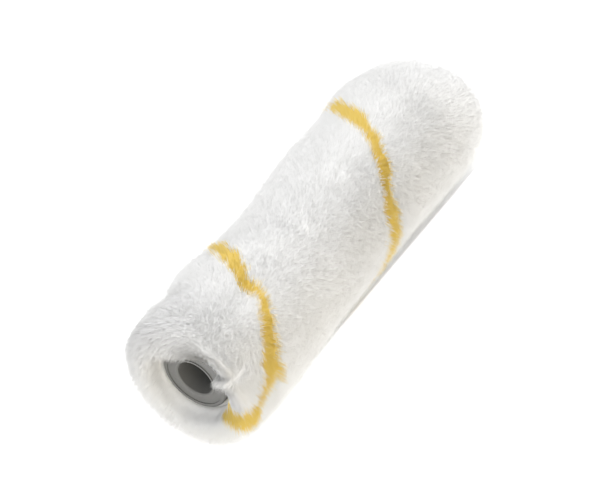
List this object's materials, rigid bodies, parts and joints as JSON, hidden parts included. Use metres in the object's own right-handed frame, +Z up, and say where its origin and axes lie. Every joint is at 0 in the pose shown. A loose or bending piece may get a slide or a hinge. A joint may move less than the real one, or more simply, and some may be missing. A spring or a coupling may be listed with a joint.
{
  "type": "paint roller refill",
  "caption": "Small-area paint roller refill: bored end bushes in a core tube, wrapped in deep white pile with a helical gold stripe.",
  "frame": {"origin": "on the axis of the spindle bore, half way between the two flange faces", "axes": "+X along the roller from the near end to the far end, +Z up as the roller lies on its side"},
  "size_m": [0.114, 0.0378, 0.0365],
  "materials": {
    "core_plastic": "matte extruded grey plastic",
    "bush_plastic": "moulded grey plastic with a fine satin grain",
    "adhesive": "thin set film of melted adhesive",
    "backing_knit": "tight off-white knitted backing",
    "white_pile": "deep soft white pile",
    "gold_pile": "deep soft gold pile"
  },
  "bodies": {
    "root": {"core_tube": "core_plastic", "end_bush_near": "bush_plastic", "end_bush_far": "bush_plastic", "adhesive_film": "adhesive", "fabric_backing": "backing_knit", "pile_white": "white_pile", "pile_gold": "gold_pile"}
  },
  "joints": []
}
